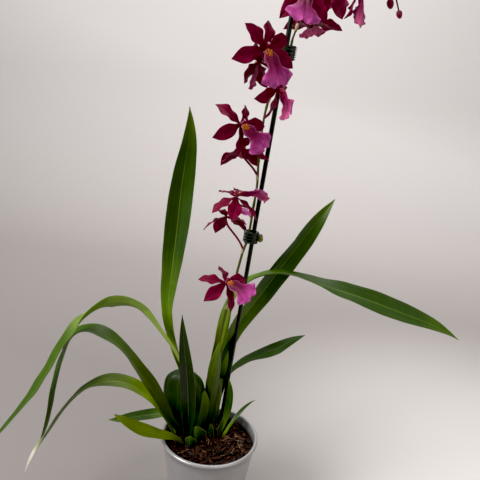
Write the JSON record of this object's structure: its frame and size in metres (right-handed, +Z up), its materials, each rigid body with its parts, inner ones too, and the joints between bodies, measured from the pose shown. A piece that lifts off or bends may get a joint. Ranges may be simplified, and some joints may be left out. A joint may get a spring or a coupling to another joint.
{
  "type": "potted oncidium orchid",
  "caption": "Potted oncidium orchid: strap leaves round a pseudobulb, a staked flower spike with crimson and pink blooms held by claw clips, in a round pot with a rolled rim.",
  "frame": {"origin": "middle of the pot's foot, on the surface that the pot stands on", "axes": "+Z up; -Y towards the viewer, on the side that most blooms face; +X to the viewer's right, the way the spike's tip leans"},
  "size_m": [0.5418, 0.1317, 0.6877],
  "materials": {
    "silver_plastic": "silver, moulded, satin gloss",
    "bark": "rough damp bark",
    "bulb_green": "living tissue, satin",
    "growth_olive": "living tissue, satin",
    "leaf_green": "living leaf, satin",
    "leaf_pale": "living leaf, pale underside",
    "leaf_light": "living leaf, yellow-green",
    "leaf_dark": "living leaf, dark green",
    "stake_plastic": "dark green, satin",
    "spike_green": "living stem, satin",
    "clip_plastic": "dark green, slightly see-through",
    "petal_crimson": "petal, soft sheen",
    "lip_pink": "petal, soft sheen"
  },
  "bodies": {
    "plant": {"pot": "silver_plastic", "bark_mix": "bark", "pseudobulb": "bulb_green", "growth_stem": "growth_olive", "leaf_tall": "leaf_green", "leaf_arch_high": "leaf_pale", "leaf_arch_middle": "leaf_green", "leaf_arch_low": "leaf_green", "leaf_short_front": "leaf_light", "leaf_short_back": "leaf_light", "leaf_spear": "leaf_dark", "leaf_broad_right": "leaf_green", "leaf_arch_right": "leaf_green", "leaf_short_right": "leaf_green", "leaf_small_right": "leaf_green", "leaf_grass": "leaf_green", "scale_sheath": "leaf_dark", "scale_left": "leaf_dark", "shoot_left": "leaf_green", "shoot_right": "leaf_green", "stake": "stake_plastic", "flower_spike": "spike_green", "clip_1_fixed_jaw": "clip_plastic", "clip_2_fixed_jaw": "clip_plastic", "bloom_01_petals": "petal_crimson", "bloom_01_lip": "lip_pink", "bloom_02_petals": "petal_crimson", "bloom_02_lip": "lip_pink", "bloom_03_petals": "petal_crimson", "bloom_03_lip": "lip_pink", "bloom_04_petals": "petal_crimson", "bloom_04_lip": "lip_pink", "bloom_05_petals": "petal_crimson", "bloom_05_lip": "lip_pink", "bloom_06_petals": "petal_crimson", "bloom_06_lip": "lip_pink", "bloom_07_petals": "petal_crimson", "bloom_07_lip": "lip_pink", "bloom_08_petals": "petal_crimson", "bloom_08_lip": "lip_pink", "bloom_09_petals": "petal_crimson", "bloom_09_lip": "lip_pink", "bloom_10_petals": "petal_crimson", "bloom_10_lip": "lip_pink", "bloom_11_petals": "petal_crimson", "bloom_11_lip": "lip_pink", "bloom_12_petals": "petal_crimson", "bloom_12_lip": "lip_pink", "bloom_13_petals": "petal_crimson", "bloom_13_lip": "lip_pink"},
    "clip_1_jaw": {"clip_1_moving_jaw": "clip_plastic"},
    "clip_2_jaw": {"clip_2_moving_jaw": "clip_plastic"}
  },
  "joints": [
    {"name": "clip_1_hinge", "type": "hinge", "parent": "plant", "child": "clip_1_jaw", "pos_m": [0.03355, 0.01065, 0.35673], "axis": [0.0607, -0.1299, 0.9897], "range_deg": [0, 30], "stiffness_Nm_per_rad": 0.004, "springref_deg": -20.05},
    {"name": "clip_2_hinge", "type": "hinge", "parent": "plant", "child": "clip_2_jaw", "pos_m": [0.03665, -0.01527, 0.55427], "axis": [0.0607, -0.1299, 0.9897], "range_deg": [0, 30], "stiffness_Nm_per_rad": 0.004, "springref_deg": -20.05}
  ]
}
